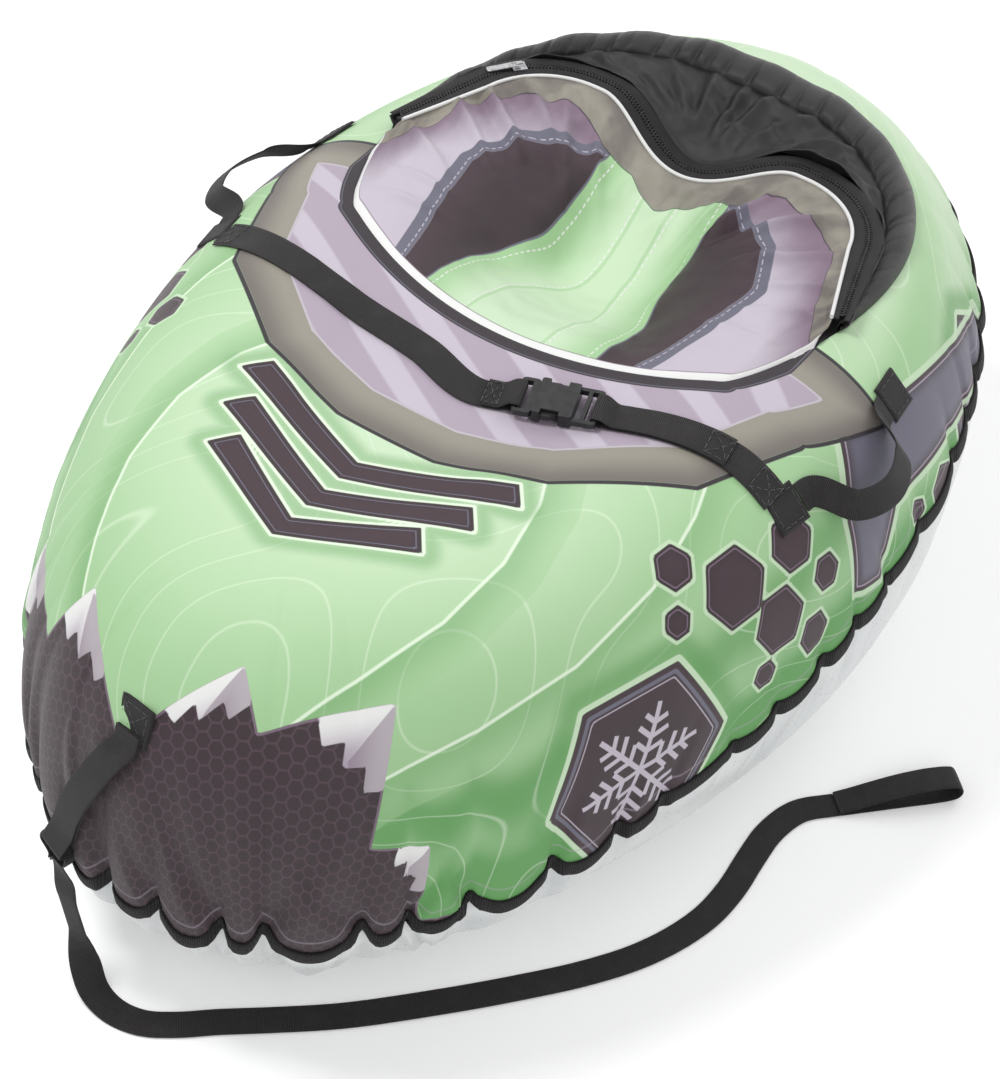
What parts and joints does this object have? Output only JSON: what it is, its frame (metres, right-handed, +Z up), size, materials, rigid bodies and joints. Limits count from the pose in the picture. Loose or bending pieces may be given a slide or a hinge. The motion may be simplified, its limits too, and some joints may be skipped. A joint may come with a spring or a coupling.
{
  "type": "snow tube",
  "caption": "Oval inflated snow tube in a printed fabric cover with a sunken seat, rear zip, lap belt with side-release buckle, side grab handles and a webbing tow strap.",
  "frame": {"origin": "middle of the flat base, on the ground", "axes": "+Z up, the front with the tow loop faces -Y, the seat and zip are towards +Y, +X is the right side seen from the front"},
  "size_m": [0.7824, 1.0848, 0.395],
  "materials": {
    "base_sheet": "smooth coated sheet, pale grey, slightly glossy",
    "belt_webbing": "ribbed black webbing",
    "binding": "black elastic edge tape",
    "buckle_plastic": "black moulded acetal",
    "cap_plastic": "black moulded cap",
    "oxford_fabric": "black plain-weave fabric with folds",
    "piping": "white folded edge piping",
    "printed_fabric": "printed coated fabric, green with dark and white bands, slight sheen",
    "seat_print": "printed coated fabric, green, lilac and dark panels",
    "tube_rubber": "black rubber",
    "valve_rubber": "black rubber",
    "webbing": "black webbing, sewn",
    "zip_coil": "black nylon coil",
    "zip_metal": "die-cast zinc, grey",
    "zip_tape": "black woven zip tape"
  },
  "bodies": {
    "tube": {"base_cover": "base_sheet", "belt_strap_left": "belt_webbing", "belt_strap_right": "belt_webbing", "buckle_socket": "buckle_plastic", "edge_binding": "binding", "edge_piping": "piping", "handle_patch_left_front": "webbing", "handle_patch_left_rear": "webbing", "handle_patch_right_front": "webbing", "handle_patch_right_rear": "webbing", "inner_tube": "tube_rubber", "rim_padding": "oxford_fabric", "seat_panel": "seat_print", "seat_well": "oxford_fabric", "top_cover": "printed_fabric", "tow_hand_loop": "webbing", "tow_patch": "webbing", "tow_strap": "webbing", "tow_strap_eye": "webbing", "valve_stem": "valve_rubber", "zip_coil": "zip_coil", "zip_tape_front": "zip_tape", "zip_tape_rear": "zip_tape"},
    "plug": {"buckle_plug": "buckle_plastic"},
    "prong_front": {"buckle_prong_front": "buckle_plastic"},
    "prong_rear": {"buckle_prong_rear": "buckle_plastic"},
    "slider": {"zip_slider": "zip_metal"},
    "pull": {"zip_pull": "zip_metal"},
    "grip_left": {"handle_left": "webbing"},
    "grip_right": {"handle_right": "webbing"},
    "tow_tab": {"tow_loop": "webbing"},
    "cap": {"valve_cap": "cap_plastic"}
  },
  "joints": [
    {"name": "buckle_release", "type": "slide", "parent": "tube", "child": "plug", "axis": [-0.9496, -0.3085, -0.0554], "range_m": [0, 0.036], "deforming": ["belt_strap_left", "buckle_prong_front", "buckle_prong_rear"]},
    {"name": "prong_front_squeeze", "type": "hinge", "parent": "plug", "child": "prong_front", "pos_m": [0.0781, -0.11973, 0.38237], "axis": [-0.043, -0.0468, 0.998], "range_deg": [0, 8], "stiffness_Nm_per_rad": 0.02},
    {"name": "prong_rear_squeeze", "type": "hinge", "parent": "plug", "child": "prong_rear", "pos_m": [0.07065, -0.09693, 0.38311], "axis": [0.043, 0.0468, -0.998], "range_deg": [0, 8], "stiffness_Nm_per_rad": 0.02},
    {"name": "zip_slider_travel", "type": "hinge", "parent": "tube", "child": "slider", "pos_m": [-0.108, 0.18802, 0.387], "axis": [0, 0, 1], "range_deg": [-46, 18]},
    {"name": "zip_pull_swing", "type": "hinge", "parent": "slider", "child": "pull", "pos_m": [-0.17694, 0.24587, 0.39327], "axis": [-0.766, 0.6428, 0], "range_deg": [0, 150]},
    {"name": "handle_right_swing", "type": "hinge", "parent": "tube", "child": "grip_right", "pos_m": [0.2754, 0.09229, 0.35392], "axis": [-0.0298, -0.9995, -0.0052], "range_deg": [0, 95]},
    {"name": "handle_left_swing", "type": "hinge", "parent": "tube", "child": "grip_left", "pos_m": [-0.2754, 0.09229, 0.35392], "axis": [-0.0298, 0.9995, 0.0052], "range_deg": [0, 95]},
    {"name": "tow_loop_swing", "type": "hinge", "parent": "tube", "child": "tow_tab", "pos_m": [-0.01101, -0.50812, 0.29773], "axis": [-1, 0, 0], "range_deg": [0, 60], "deforming": ["tow_strap_eye", "tow_strap"]},
    {"name": "valve_cap_turn", "type": "hinge", "parent": "tube", "child": "cap", "pos_m": [0.05645, 0.01337, 0.31951], "axis": [-0.7354, -0.0585, 0.6751], "continuous": true}
  ]
}
